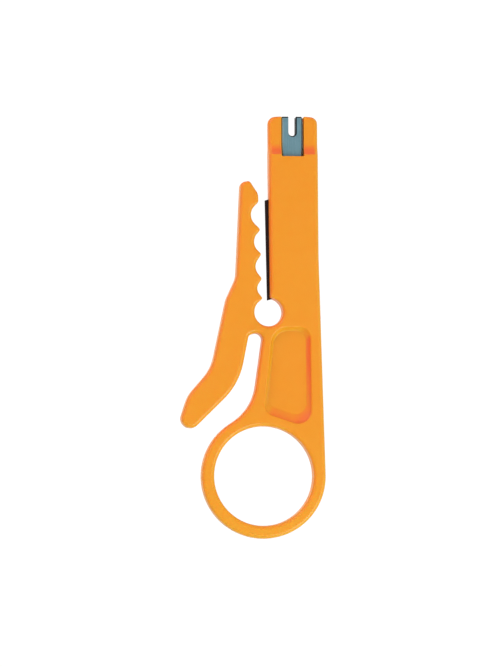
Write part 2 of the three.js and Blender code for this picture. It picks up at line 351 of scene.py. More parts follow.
class Contour:
    """A closed outline: points, normals that point out of the plastic, and the edge radius."""

    def __init__(self, loop, edge_limit, longest_step):
        fine = blurred(fine_loop(without_spare_points(loop)), CORNER_SOFTNESS)
        tangent = np.roll(fine, -1, 0) - np.roll(fine, 1, 0)
        tangent /= np.hypot(*tangent.T)[:, None]
        heading = np.unwrap(np.arctan2(tangent[:, 1], tangent[:, 0]))
        turn = (np.roll(heading, -1) - np.roll(heading, 1) + np.pi) % (2 * np.pi) - np.pi
        bend = blurred(turn / (2 * FINE_STEP), FINE_STEP)
        own_radius = lowest_nearby(1 / np.maximum(bend, LEAST_BEND), BEND_REACH)
        tightest = np.maximum(EDGE_SHARE * own_radius - DRAFT * SHAPE["half"], SMALLEST_EDGE)
        radius = np.minimum(edge_limit(fine), tightest)
        radius = np.minimum(blurred(lowest_nearby(radius, 2 * EDGE_FADE), EDGE_FADE), radius)
        step = np.minimum(longest_step(fine), ARC_STEP / np.maximum(np.abs(bend), LEAST_BEND))
        step = np.maximum(lowest_nearby(step, STEP_REACH), SHORTEST_STEP)
        self.take(fine, tangent, radius, step)

    def take(self, fine, tangent, radius, step):
        """Keeps as many of the fine points as the wanted step between them asks for."""
        passed = np.concatenate([[0], np.cumsum(FINE_STEP / step)])
        count = int(math.ceil(passed[-1]))
        wanted = np.arange(count) * passed[-1] / count
        columns = np.column_stack([fine, tangent, radius])
        columns = np.vstack([columns, columns[:1]])
        picked = np.stack([np.interp(wanted, passed, column) for column in columns.T], 1)
        self.points = picked[:, :2]
        along = picked[:, 2:4] / np.hypot(*picked[:, 2:4].T)[:, None]
        self.normals = np.stack([along[:, 1], -along[:, 0]], 1)
        self.radius = picked[:, 4]


# ---- Heights ----


def measure_moulding():
    """Levels and places of the moulding that its nodes give."""
    low, high = (np.array(corner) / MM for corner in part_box("handle_body"))
    blade_low, blade_high = (np.array(corner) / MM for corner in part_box("punch_blade"))
    corners = cad_triangles("handle_body").reshape(-1, 3)
    left, right = blade_low[0] - BESIDE_BLADE, blade_high[0] + BESIDE_BLADE
    near_blade = (corners[:, 0] > left) & (corners[:, 0] < right) & (corners[:, 1] > blade_low[1])
    on_face = corners[near_blade & (corners[:, 2] > high[2] - ON_FACE)]
    on_tip = corners[near_blade & (abs(corners[:, 2] - blade_high[2]) < ON_FACE)]
    return {
        "middle": (low[2] + high[2]) / 2,
        "half": (high[2] - low[2]) / 2,
        "tip_half": (blade_high[2] - blade_low[2]) / 2,
        "window_left": on_face[:, 0].min(),
        "window_right": on_face[:, 0].max(),
        "window_root": on_face[:, 1].min(),
        "crease": on_face[:, 1].max(),
        "ramp_end": on_tip[:, 1].min(),
    }


SHAPE = measure_moulding()


def half_thickness(y):
    """Half the moulding's thickness: full on the spine, then a hollow ramp down to the tip."""
    drop = SHAPE["half"] - SHAPE["tip_half"]
    length = SHAPE["ramp_end"] - SHAPE["crease"]
    radius = (length**2 + drop**2) / (2 * drop)
    back = np.clip(SHAPE["ramp_end"] - y, 0, radius)
    ramp = SHAPE["tip_half"] + radius - np.sqrt(radius**2 - back**2)
    closeness = np.maximum(RAMP_SOFTNESS - abs(ramp - SHAPE["half"]), 0) / RAMP_SOFTNESS
    return np.minimum(ramp, SHAPE["half"]) - closeness**2 * RAMP_SOFTNESS / 4


def face_marks():
    """Centres of the ejector marks."""
    low, high = (np.array(corner[:2]) / MM for corner in cad_box)
    return [low + np.array(share) * (high - low) for share in EJECTOR_MARKS]


def face_height(points, side):
    """How far the front (side 1) or back (side -1) face stands from the middle of the moulding."""
    height = half_thickness(points[:, 1])
    if side < 0:
        for centre in face_marks():
            away = np.hypot(*(points - centre).T)
            height = height - MARK_DEPTH * (1 - smoothstep(MARK_RADIUS - MARK_SLOPE, MARK_RADIUS, away))
    return height


def face_normals(points, side):
    """Normals of the front or back face, from its rise over a small step each way."""
    slopes = []
    for offset in ((SLOPE_STEP, 0), (0, SLOPE_STEP)):
        rise = face_height(points + offset, side) - face_height(points - np.array(offset), side)
        slopes.append(-rise / (2 * SLOPE_STEP))
    return unit(np.column_stack([*slopes, np.full(len(points), side)]))


def unit(vectors):
    return vectors / np.linalg.norm(vectors, axis=1)[:, None]


# ---- Building the skin ----


class Skin:
    """Rows of points with normals and edge wear, and the faces between them."""

    def __init__(self):
        self.points = np.zeros((0, 3))
        self.normals = np.zeros((0, 3))
        self.wear = np.zeros(0)
        self.faces = []

    def add(self, plan, height, normals, wear):
        """Adds points at a height from the moulding's middle, and returns their indices."""
        first = len(self.points)
        placed = np.column_stack([plan, SHAPE["middle"] + height * np.ones(len(plan))])
        self.points = np.vstack([self.points, placed])
        self.normals = np.vstack([self.normals, unit(normals)])
        self.wear = np.concatenate([self.wear, wear * np.ones(len(plan))])
        return np.arange(first, len(self.points))

    def join(self, rows, turned):
        """Quads between closed rows; turned says which way round they face."""
        for row, above in zip(rows, rows[1:]):
            quads = np.stack([row, np.roll(row, -1), np.roll(above, -1), above], 1)
            self.faces += (quads[:, ::-1] if turned else quads).tolist()

    def plan(self, row):
        return self.points[row][:, :2]


def moulded_side(skin, contour):
    """Rows from the back face round an outline's side to the front face."""
    flat = np.column_stack([contour.normals, np.zeros(len(contour.normals))])
    start = half_thickness(contour.points[:, 1]) - contour.radius

    def edge_row(side, angle):
        inset = DRAFT * start + contour.radius * (1 - math.cos(angle))
        plan = contour.points - contour.normals * inset[:, None]
        height = face_height(plan, side) - contour.radius * (1 - math.sin(angle))
        normals = flat * math.cos(angle) + face_normals(plan, side) * math.sin(angle)
        return skin.add(plan, side * height, normals, math.sin(2 * angle))

    def side_row(height, outset, tilt):
        drafted = outset - DRAFT * abs(height) * np.ones(len(start))
        plan = contour.points + contour.normals * drafted[:, None]
        return skin.add(plan, height, flat + (0, 0, tilt), 0)

    angles = [math.pi / 2 * i / EDGE_STEPS for i in range(EDGE_STEPS + 1)]
    rows = [edge_row(-1, angle) for angle in reversed(angles)]
    rows += [side_row(-start * share, 0, 0) for share in SIDE_LEVELS]
    for place, rise, tilt in PARTING_ROWS:
        rows.append(side_row(place * PARTING_HALF_WIDTH, rise * PARTING_RIDGE, tilt))
    rows += [side_row(start * share, 0, 0) for share in reversed(SIDE_LEVELS)]
    rows += [edge_row(1, angle) for angle in angles]
    skin.join(rows, False)
    return {-1: rows[0], 1: rows[-1]}


def wall_profile(t):
    """How far across and down a pocket's wall is at t, and how fast it goes each way there."""
    angle = t * math.pi / 2
    across = WALL_STRAIGHTNESS * t + (1 - WALL_STRAIGHTNESS) * (1 - math.cos(angle))
    down = WALL_STRAIGHTNESS * t + (1 - WALL_STRAIGHTNESS) * math.sin(angle)
    bend = (1 - WALL_STRAIGHTNESS) * math.pi / 2
    foot = smoothstep(WALL_FOOT, 1, t)
    slope_across = WALL_STRAIGHTNESS + bend * math.sin(angle)
    slope_down = (WALL_STRAIGHTNESS + bend * math.cos(angle)) * (1 - foot)
    return across, down, slope_across, slope_down


def thumb_pocket(skin, rim, side):
    """Rows from the face over the pocket's rounded rim, down its hollow wall to the floor."""
    low, high = rim.points.min(0), rim.points.max(0)
    floor_low = low + (POCKET_WALLS["left"], POCKET_WALLS["bottom"])
    floor_high = high - (POCKET_WALLS["right"], POCKET_WALLS["top"])
    reach = floor_low + (rim.points - low) / (high - low) * (floor_high - floor_low) - rim.points
    flat = np.column_stack([rim.normals, np.zeros(len(rim.normals))])
    up = np.array([0, 0, side])
    top = SHAPE["half"]
    rows = []
    for i in range(RIM_STEPS):
        angle = math.pi / 2 * i / RIM_STEPS
        plan = rim.points - rim.normals * POCKET_RIM * (1 - math.sin(angle))
        height = top - POCKET_RIM * (1 - math.cos(angle))
        normals = flat * math.sin(angle) + up * math.cos(angle)
        rows.append(skin.add(plan, side * height, normals, math.sin(2 * angle)))
    drop = POCKET_DEPTH - POCKET_RIM
    width = np.hypot(*reach.T)[:, None]
    for i in range(WALL_STEPS + 1):
        across, down, slope_across, slope_down = wall_profile(i / WALL_STEPS)
        height = top - POCKET_RIM - drop * down
        normals = flat * drop * slope_down + up * width * slope_across
        rows.append(skin.add(rim.points + reach * across, side * height, normals, 0))
    skin.join(rows, side > 0)
    return rows[0], rows[-1]


def inside(points, loops):
    """True where a point is inside an odd number of closed loops."""
    crossed = np.zeros(len(points), bool)
    x, y = points[:, 0][:, None], points[:, 1][:, None]
    for loop in loops:
        (x1, y1), (x2, y2) = loop.T, np.roll(loop, -1, 0).T
        spans = (y1 > y) != (y2 > y)
        rise = np.where(y2 == y1, 1, y2 - y1)
        crossed ^= (spans & (x < (x2 - x1) * (y - y1) / rise + x1)).sum(1) % 2 == 1
    return crossed


def gap_to(points, others):
    """Distance from each point to the nearest of the others, worked out a batch at a time."""
    nearest = np.full(len(points), np.inf)
    for part in np.array_split(others, max(1, len(others) // BATCH)):
        nearest = np.minimum(nearest, np.hypot(*(points[:, None] - part[None]).T).min(0))
    return nearest


def grid(low, high, step):
    """Points in rows over a box, with every second row moved by half a step."""
    rows = np.arange(low[1], high[1], step[1])
    across = np.arange(low[0], high[0], step[0])
    x, y = np.meshgrid(across, rows)
    x[1::2] += step[0] / 2
    return np.column_stack([x.ravel(), y.ravel()])


def face_points(low, high, side):
    """Points to spread over a face: an even grid, closer rows over the tip's ramp and its crease,
    and rings over the back face's ejector marks."""
    points = grid(low, high, (GRID_STEP, GRID_STEP * GRID_ROWS))
    crease, end = SHAPE["crease"], SHAPE["ramp_end"]
    points = points[(points[:, 1] < crease - RAMP_MARGIN) | (points[:, 1] > end + RAMP_STEP)]
    ramp = grid((low[0], crease + RAMP_START), (high[0], end + RAMP_MARGIN), (GRID_STEP, RAMP_STEP))
    fold_start = crease - 3 * CREASE_ROWS
    fold = grid((low[0], fold_start), (high[0], crease + RAMP_MARGIN), (RAMP_STEP, CREASE_ROWS))
    points = np.concatenate([points, ramp, fold])
    if side > 0:
        return points
    angle = np.arange(MARK_CORNERS) * 2 * math.pi / MARK_CORNERS
    circle = np.column_stack([np.cos(angle), np.sin(angle)])
    for centre in face_marks():
        points = points[np.hypot(*(points - centre).T) > MARK_RADIUS + MARK_MARGIN]
        for inset in MARK_RINGS:
            points = np.concatenate([points, centre + circle * (MARK_RADIUS - MARK_SLOPE * inset)])
        points = np.concatenate([points, centre + circle[::4] * MARK_RADIUS * MARK_CORE])
    return points


def enclosed(triangles, edges):
    """The triangles that an odd number of closed loops of edges go round."""
    walls = {frozenset(edge) for edge in edges}
    sides = [[frozenset((a, b)), frozenset((b, c)), frozenset((c, a))] for a, b, c in triangles]
    sharing = {}
    for number, three in enumerate(sides):
        for side in three:
            sharing.setdefault(side, []).append(number)
    waiting = [(found[0], side in walls) for side, found in sharing.items() if len(found) == 1]
    kept = {}
    while waiting:
        number, keep = waiting.pop()
        if number in kept:
            continue
        kept[number] = keep
        for side in sides[number]:
            waiting += [(other, keep != (side in walls)) for other in sharing[side] if other not in kept]
    return [triangle for number, triangle in enumerate(triangles) if kept[number]]


def fill(skin, rows, spread, height, normals, turned):
    """Triangles inside the first row and outside the others, over points spread between them."""
    loops = [skin.plan(row) for row in rows]
    spread = spread[inside(spread, loops)]
    spread = spread[gap_to(spread, np.concatenate(loops)) > GRID_MARGIN]
    added = skin.add(spread, height(spread), normals(spread), 0)
    indices = np.concatenate([*rows, added])
    edges = []
    first = 0
    for row in rows:
        edges += [(first + i, first + (i + 1) % len(row)) for i in range(len(row))]
        first += len(row)
    corners = [Vector(point) for point in skin.plan(indices)]
    faces, origins = delaunay_2d_cdt(corners, edges, [], 0, 1e-7, True)[2:4]
    triangles = [[origins[corner][0] for corner in face] for face in faces]
    triangles = indices[np.array(enclosed(triangles, edges))]
    skin.faces += (triangles[:, ::-1] if turned else triangles).tolist()


def beside_window(points):
    """True where a point stands between the left and right sides of the punch blade's window."""
    left, right = SHAPE["window_left"] - WINDOW_MARGIN, SHAPE["window_right"] + WINDOW_MARGIN
    return (points[:, 0] > left) & (points[:, 0] < right)


def window_closed(loop):
    """The outline with the punch blade's window cut off square where it goes on inside the spine."""
    root = SHAPE["window_root"]
    hidden = beside_window(loop) & (loop[:, 1] < root) & (loop[:, 1] > root - WINDOW_HIDDEN)
    closed = loop.copy()
    closed[hidden, 1] = root
    return closed


def edge_limit(points):
    """The widest edge radius at each point: small along the window, and full elsewhere."""
    in_window = beside_window(points) & (points[:, 1] > SHAPE["window_root"] - WINDOW_MARGIN)
    return np.where(in_window, WINDOW_EDGE, EDGE_RADIUS)


def longest_step(points):
    """The longest step along the outline: shorter near the hinge, the ramp and its crease."""
    crease, end = SHAPE["crease"], SHAPE["ramp_end"]
    step = np.full(len(points), LONGEST_STEP)
    step[np.hypot(*(points - PIVOT).T) < WEB_AROUND] = WEB_STEP
    step[(points[:, 1] > crease) & (points[:, 1] < end + RAMP_MARGIN)] = RAMP_STEP
    step[abs(points[:, 1] - crease) < RAMP_MARGIN] = CREASE_STEP
    return step


def pocket_step(points):
    return np.full(len(points), LONGEST_STEP)


def moulding_skin():
    """The whole moulding as one skin."""
    outer, hole = moulding_loops(SLICE_LEVEL)[:2]
    face_loops = moulding_loops(SHAPE["middle"] + SHAPE["half"] - RIM_SLICE)
    rim = Contour(face_loops[2], edge_limit, pocket_step)  # the next largest after the ring's hole
    outlines = [Contour(loop, edge_limit, longest_step) for loop in (window_closed(outer), hole)]
    skin = Skin()
    sides = [moulded_side(skin, contour) for contour in outlines]
    low, high = outlines[0].points.min(0), outlines[0].points.max(0)
    for side in (-1, 1):
        rim_row, floor_row = thumb_pocket(skin, rim, side)
        rows = [row[side] for row in sides] + [rim_row]
        fill(
            skin,
            rows,
            face_points(low, high, side),
            lambda points: side * face_height(points, side),
            lambda points: face_normals(points, side),
            side < 0,
        )
        floor = side * (SHAPE["half"] - POCKET_DEPTH)
        fill(
            skin,
            [floor_row],
            grid(rim.points.min(0), rim.points.max(0), (GRID_STEP, GRID_STEP)),
            lambda points: floor,
            lambda points: np.tile((0.0, 0.0, side), (len(points), 1)),
            side < 0,
        )
    return skin


# ---- Shells ----


def skin_bmesh(skin):
    """The skin in metres, with its normals and wear kept on the points."""
    mesh = bpy.data.meshes.new("moulding")
    mesh.from_pydata((skin.points * MM).tolist(), [], skin.faces)
    normals = mesh.attributes.new("moulded_normal", "FLOAT_VECTOR", "POINT")
    normals.data.foreach_set("vector", skin.normals.astype(np.float32).ravel())
    wear = mesh.attributes.new("edge_wear", "FLOAT", "POINT")
    wear.data.foreach_set("value", skin.wear.astype(np.float32))
    solid = bmesh.new()
    solid.from_mesh(mesh)
    bpy.data.meshes.remove(mesh)
    return solid


def hinge_place(point):
    """A point's place in millimetres along the hinge line and across it, from the pivot."""
    away = np.array(point[:2]) / MM - PIVOT
    return away @ ALONG, away @ np.array([-ALONG[1], ALONG[0]])


def cut_web(solid):
    """Cuts the skin at both ends of the web, and returns the web's faces."""
    for cut in CUTS:
        near = []
        for face in solid.faces:
            place, across = hinge_place(face.calc_center_median())
            if abs(place - cut) < CUT_REACH and abs(across) < WEB_REACH:
                near.append(face)
        edges = dict.fromkeys(edge for face in near for edge in face.edges)
        corners = dict.fromkeys(vertex for face in near for vertex in face.verts)
        geometry = [*near, *edges, *corners]
        at = Vector((*((PIVOT + ALONG * cut) * MM), 0))
        bmesh.ops.bisect_plane(solid, geom=geometry, dist=1e-8, plane_co=at, plane_no=Vector((*ALONG, 0)))
    low, high = CUTS
    web = set()
    for face in solid.faces:
        place, across = hinge_place(face.calc_center_median())
        if low < place < high and abs(across) < WEB_REACH:
            web.add(face)
    return web


def spread_from(face, walls):
    """All the faces that join a face without crossing the walls."""
    found = {face}
    waiting = [face]
    while waiting:
        for edge in waiting.pop().edges:
            for other in edge.link_faces:
                if other not in found and other not in walls:
                    found.add(other)
                    waiting.append(other)
    return found


def shell(name, solid, faces):
    """An object made of some of the skin's faces, shaded by the skin's own normals."""
    normal_layer = solid.verts.layers.float_vector["moulded_normal"]
    wear_layer = solid.verts.layers.float["edge_wear"]
    corners = sorted({vertex for face in faces for vertex in face.verts}, key=lambda vertex: vertex.index)
    number = {vertex: i for i, vertex in enumerate(corners)}
    ordered = sorted(faces, key=lambda face: face.index)
    mesh = bpy.data.meshes.new(name)
    mesh.from_pydata([v.co for v in corners], [], [[number[v] for v in face.verts] for face in ordered])
    mesh.polygons.foreach_set("use_smooth", [True] * len(ordered))
    wear = mesh.attributes.new("edge_wear", "FLOAT", "POINT")
    wear.data.foreach_set("value", [vertex[wear_layer] for vertex in corners])
    mesh.normals_split_custom_set_from_vertices([vertex[normal_layer].normalized() for vertex in corners])
    made = bpy.data.objects.new(name, mesh)
    bpy.context.scene.collection.objects.link(made)
    return made


def moulding_shells():
    """The handle's, the web's and the jaw's shell."""
    solid = skin_bmesh(moulding_skin())
    web = cut_web(solid)
    solid.faces.index_update()
    solid.verts.index_update()
    leftmost = min(solid.faces, key=lambda face: face.calc_center_median().x)
    jaw = spread_from(leftmost, web)
    handle = set(solid.faces) - web - jaw
    named = (("handle_shell", handle), ("web_shell", web), ("jaw_shell", jaw))
    shells = [shell(name, solid, faces) for name, faces in named]
    solid.free()
    return shells


# ---- Steel ----

STEEL_EDGE = 0.1
KEEN_EDGE = 0.03  # on the strip blade
GROUND_EDGE = 0.14  # along the open side of the punch blade's legs
BEVEL_ANGLE = math.radians(25)  # an edge that turns more than this is rounded
SHADING_ANGLE = math.radians(50)  # and one that turns more than this is shaded sharp
FLAT_ANGLE = math.radians(1)


def cad_copy(node):
    """A CAD node's shape with its triangles merged into whole faces."""
    solid = bmesh.new()
    solid.from_mesh(frame["nodes"][node].data)
    bmesh.ops.remove_doubles(solid, verts=solid.verts, dist=1e-7)
    bmesh.ops.dissolve_limit(solid, angle_limit=FLAT_ANGLE, verts=solid.verts, edges=solid.edges)
    return solid


def bevel(solid, edges, width, steps):
    """Breaks some edges by a width in millimetres."""
    bmesh.ops.bevel(
        solid,
        geom=edges,
        offset=width * MM,
        offset_type="OFFSET",
        segments=steps,
        profile=0.5,
        affect="EDGES",
        clamp_overlap=True,
    )


def sharp_edges(solid):
    return [e for e in solid.edges if len(e.link_faces) == 2 and e.calc_face_angle(0) > BEVEL_ANGLE]


def steel_object(name, solid):
    """An object made of a solid's faces, smooth over its rounded edges."""
    mesh = bpy.data.meshes.new(name)
    bmesh.ops.triangulate(solid, faces=solid.faces, ngon_method="BEAUTY")
    solid.to_mesh(mesh)
    solid.free()
    mesh.polygons.foreach_set("use_smooth", [True] * len(mesh.polygons))
    mesh.set_sharp_from_angle(angle=SHADING_ANGLE)
    made = bpy.data.objects.new(name, mesh)
    bpy.context.scene.collection.objects.link(made)
    weighted = made.modifiers.new("even shading", "WEIGHTED_NORMAL")
    weighted.keep_sharp = True
    return made


def punch_blade():
    """The folded punch blade, with a ground edge along the open side of each leg."""
    solid = cad_copy("punch_blade")
    low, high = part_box("punch_blade")
    close = 0.01 * MM
    ground = []
    for level in (low.z, high.z):
        outside = [edge for edge in solid.edges if all(abs(v.co.z - level) < close for v in edge.verts)]
        side = max(edge.verts[0].co.x for edge in outside)
        ground += [edge for edge in outside if all(abs(v.co.x - side) < close for v in edge.verts)]
    bevel(solid, ground, GROUND_EDGE, 1)
    bevel(solid, sharp_edges(solid), STEEL_EDGE, 2)
    return steel_object("punch_blade_steel", solid)


def strip_blade():
    """The strip blade, with its corners just broken so that the cutting wedge stays keen."""
    solid = cad_copy("strip_blade")
    bevel(solid, sharp_edges(solid), KEEN_EDGE, 2)
    return steel_object("strip_blade_steel", solid)


# ---- Materials ----


class Paint:
    """A material's nodes, with short calls that add and join them."""

    def __init__(self, name):
        self.material = bpy.data.materials.new(name)
        self.material.use_nodes = True
        self.tree = self.material.node_tree
        self.tree.nodes.clear()
        self.output = self.tree.nodes.new("ShaderNodeOutputMaterial")

    def add(self, kind, inputs=None, **settings):
        """A new node. Each input is a value or another node's socket."""
        node = self.tree.nodes.new("ShaderNode" + kind)
        for key, value in settings.items():
            setattr(node, key, value)
        for key, value in (inputs or {}).items():
            if isinstance(value, bpy.types.NodeSocket):
                self.tree.links.new(value, node.inputs[key])
            else:
                node.inputs[key].default_value = value
        return node

    def place(self, stretch=(1, 1, 1)):
        """The surface's own coordinates in millimetres, stretched along each axis."""
        coordinates = self.add("TexCoord").outputs["Object"]
        scale = tuple(share / MM for share in stretch)
        return self.add("VectorMath", {0: coordinates, 1: scale}, operation="MULTIPLY").outputs[0]

    def facing(self, way):
        """How squarely the surface faces one way: 1 is fully, and 0 is side on."""
        normal = self.add("TexCoord").outputs["Normal"]
        return self.add("VectorMath", {0: normal, 1: way}, operation="DOT_PRODUCT").outputs["Value"]

    def noise(self, per_mm, stretch=(1, 1, 1), detail=2.0, roughness=0.5):
        inputs = {"Vector": self.place(stretch), "Scale": per_mm, "Detail": detail, "Roughness": roughness}
        return self.add("TexNoise", inputs).outputs["Fac"]

    def spread(self, value, low, high, to_low, to_high):
        """Maps a value from one range to another, and keeps it there."""
        inputs = {"Value": value, "From Min": low, "From Max": high, "To Min": to_low, "To Max": to_high}
        return self.add("MapRange", inputs).outputs[0]

    def math(self, operation, *values):
        """The result of a sum, product or the like of values and sockets."""
        return self.add("Math", dict(enumerate(values)), operation=operation).outputs[0]

    def mix(self, share, first, second):
        """A blend of two colours, each given as a value or a socket."""
        node = self.add("Mix", {"Factor": share}, data_type="RGBA")
        for socket, value in ((node.inputs[6], first), (node.inputs[7], second)):
            if isinstance(value, bpy.types.NodeSocket):
                self.tree.links.new(value, socket)
            else:
                socket.default_value = (*value, 1)
        return node.outputs[2]

    def bump(self, height, depth_mm, below=None):
        inputs = {"Height": height, "Distance": depth_mm * MM, "Strength": 1.0}
        if below is not None:
            inputs["Normal"] = below
        return self.add("Bump", inputs).outputs[0]

    def finish(self, shader):
        self.tree.links.new(shader, self.output.inputs["Surface"])
        return self.material


ORANGE = (0.84, 0.325, 0.012)
ORANGE_LIGHT = (0.85, 0.35, 0.018)
ORANGE_DEEP = (0.83, 0.285, 0.008)
# Painted shade, for slopes turned away from the key light, and painted light, for slopes turned towards it
# and for the ring's end.
ORANGE_PAINTED_SHADE = (0.86, 0.155, 0.03)
ORANGE_PAINTED_LIGHT = (0.84, 0.41, 0.014)

FRONT = (0, 0, 1)
SHADE_WAY = (-0.56, 0.83, 0.0)  # slopes facing this way, away from the key light, get painted shade; opposite ones painted light
PAINTED_SHADE_SLOPES = (0.08, 0.36)  # from no change to the full change
PAINTED_SHADE_SHARE = 0.9
PAINTED_SHADE_EDGE = 0.3  # how much of the painted shade a rounded edge keeps
PAINTED_LIGHT_SLOPES = (-0.1, -0.55)
PAINTED_LIGHT_SHARE = 0.55
TILTED = (0.05, 0.45)  # from an upright side, which keeps its tone, to a slope
RING_REACH = (-15, -46)  # along this stretch, up to the ring's far end, painted light turns the plastic a more yellow orange
RING_SHARE = 0.5

# Features of the plastic to a millimetre, and their depth in millimetres.
FLOW_PER_MM = 0.05
FLOW_STRETCH = (1, 0.35, 1)
MOTTLE_PER_MM = 0.6
RUB_PER_MM = 0.9
GLOSS_PER_MM = 0.25
GRAIN_PER_MM = 5.5
GRAIN_DEPTH = 0.006
PEEL_PER_MM = 0.7
PEEL_DEPTH = 0.02
HAIR_PER_MM = 1.6
HAIR_STRETCH = (1, 0.04, 1)
HAIR_DEPTH = 0.0015

BLADE_STEEL = (0.02, 0.014, 0.013)
BLADE_EDGE = (0.05, 0.036, 0.04)
PUNCH_STEEL = (0.18, 0.37, 0.465)
PUNCH_STEEL_LIGHT = (0.275, 0.465, 0.58)
PUNCH_SHADE_STEEL = (0.008, 0.009, 0.01)
PUNCH_TONES = (PUNCH_STEEL, PUNCH_STEEL_LIGHT, PUNCH_SHADE_STEEL)  # base, lighter (brush lines and painted highlight), painted shade (side faces and rim)
BLADE_TONES = (BLADE_STEEL, BLADE_EDGE, BLADE_EDGE)
PUNCH_ROUGHNESS = 0.4
BLADE_ROUGHNESS = 0.35
BRUSH_PER_MM = 5.0
BRUSH_STRETCH = (1, 0.05, 1)  # long lines along y
BRUSH_DEPTH = 0.003
STAINS_PER_MM = 0.5
STAIN_SHADE = 0.7

# Where the punch blade gets painted shade: a band along its end, and a band round the fork slot,
# whose centre line is the slot's own moved a little to the right and down.
END_RIM = 0.22
RIM_FADE = 0.08
FORK_ACROSS = 2.4  # from the fold to the band's centre line
FORK_DEPTH = 3.6  # from the blade's end to the centre of the band's round root
FORK_RADIUS = 0.93


def painted_slope_shading(paint, tone, wear):
    """Painted shade and painted light: the tone turns deeper red on slopes that face away from the key
    light, less so on rounded edges, and more yellow on slopes that face it.
    """
    slope = paint.facing(SHADE_WAY)
    tilted = paint.spread(paint.math("ABSOLUTE", paint.facing(FRONT)), *TILTED, 0, 1)
    painted_shade = paint.math("MULTIPLY", paint.spread(slope, *PAINTED_SHADE_SLOPES, 0, PAINTED_SHADE_SHARE), tilted)
    painted_shade = paint.math("MULTIPLY", painted_shade, paint.spread(wear, 0, 0.6, 1, PAINTED_SHADE_EDGE))
    tone = paint.mix(painted_shade, tone, ORANGE_PAINTED_SHADE)
    painted_light = paint.spread(slope, *PAINTED_LIGHT_SLOPES, 0, PAINTED_LIGHT_SHARE)
    return paint.mix(paint.math("MULTIPLY", painted_light, tilted), tone, ORANGE_PAINTED_LIGHT)


def plastic_tone(paint, wear, rubbed):
    """Orange with a faint flow and mottle, lighter where it is rubbed, with painted shade and painted
    light on slopes, and painted light towards the ring's end.
    """
    flow = paint.noise(FLOW_PER_MM, FLOW_STRETCH, 3.0)
    tone = paint.mix(paint.spread(flow, 0.3, 0.7, 0, 0.55), ORANGE, ORANGE_DEEP)
    mottle = paint.noise(MOTTLE_PER_MM)
    tone = paint.mix(paint.spread(mottle, 0.35, 0.75, 0, 0.3), tone, ORANGE_LIGHT)
    tone = paint.mix(paint.math("MULTIPLY", rubbed, 0.35), tone, ORANGE_LIGHT)
    tone = painted_slope_shading(paint, tone, wear)
    # Painted light: more yellow towards the ring's end, on the key light's side.
    along = paint.add("SeparateXYZ", {0: paint.place()}).outputs["Y"]
    return paint.mix(paint.spread(along, *RING_REACH, 0, RING_SHARE), tone, ORANGE_PAINTED_LIGHT)


def plastic_relief(paint):
    """Fine moulded grain over a soft unevenness, with hairline scratches along the tool."""
    grain = paint.bump(paint.noise(GRAIN_PER_MM, detail=3.0, roughness=0.6), GRAIN_DEPTH)
    peel = paint.bump(paint.noise(PEEL_PER_MM), PEEL_DEPTH, grain)
    hairs = paint.spread(paint.noise(HAIR_PER_MM, HAIR_STRETCH, 1.0), 0.66, 0.74, 0, 1)
    return paint.bump(paint.math("MULTIPLY", hairs, -1.0), HAIR_DEPTH, peel)


def orange_plastic():
    """Satin moulded plastic that lets a little light in, with edges polished by handling."""
    paint = Paint("orange_plastic")
    wear = paint.add("Attribute", attribute_name="edge_wear").outputs["Fac"]
    patches = paint.spread(paint.noise(RUB_PER_MM, detail=4.0), 0.42, 0.7, 0, 1)
    rubbed = paint.math("MULTIPLY", wear, patches)
    gloss = paint.spread(paint.noise(GLOSS_PER_MM, detail=3.0), 0.3, 0.7, 0.36, 0.46)
    surface = {
        "Base Color": plastic_tone(paint, wear, rubbed),
        "Roughness": paint.math("SUBTRACT", gloss, paint.math("MULTIPLY", rubbed, 0.1)),
        "Normal": plastic_relief(paint),
        "Subsurface Weight": 0.3,
        "Subsurface Radius": (1.0, 0.32, 0.06),
        "Subsurface Scale": 1.5 * MM,
        "IOR": 1.47,
    }
    return paint.finish(paint.add("BsdfPrincipled", surface).outputs[0])


def punch_painted_shade(paint):
    """Where the punch blade gets painted shade: its end, the fork slot's right side and root, and the
    inner face of its back leg."""
    low, high = (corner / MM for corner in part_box("punch_blade"))
    place = paint.add("SeparateXYZ", {0: paint.place()})
    end = paint.spread(place.outputs["Y"], high.y - END_RIM - RIM_FADE, high.y - END_RIM, 0, 1)
    across = paint.math("SUBTRACT", place.outputs["X"], low.x + FORK_ACROSS)
    along = paint.math("SUBTRACT", high.y - FORK_DEPTH, place.outputs["Y"])
    root = paint.math("MAXIMUM", along, 0)
    squares = paint.math("ADD", paint.math("POWER", across, 2), paint.math("POWER", root, 2))
    away = paint.math("SQRT", squares)
    fork = paint.spread(away, FORK_RADIUS, FORK_RADIUS + RIM_FADE, 1, 0)
    middle = (low.z + high.z) / 2
    behind = paint.spread(place.outputs["Z"], middle - RIM_FADE, middle + RIM_FADE, 1, 0)
    inner = paint.math("MULTIPLY", behind, paint.spread(paint.facing(FRONT), 0.5, 0.9, 0, 1))
    return paint.math("MAXIMUM", paint.math("MAXIMUM", end, fork), inner)


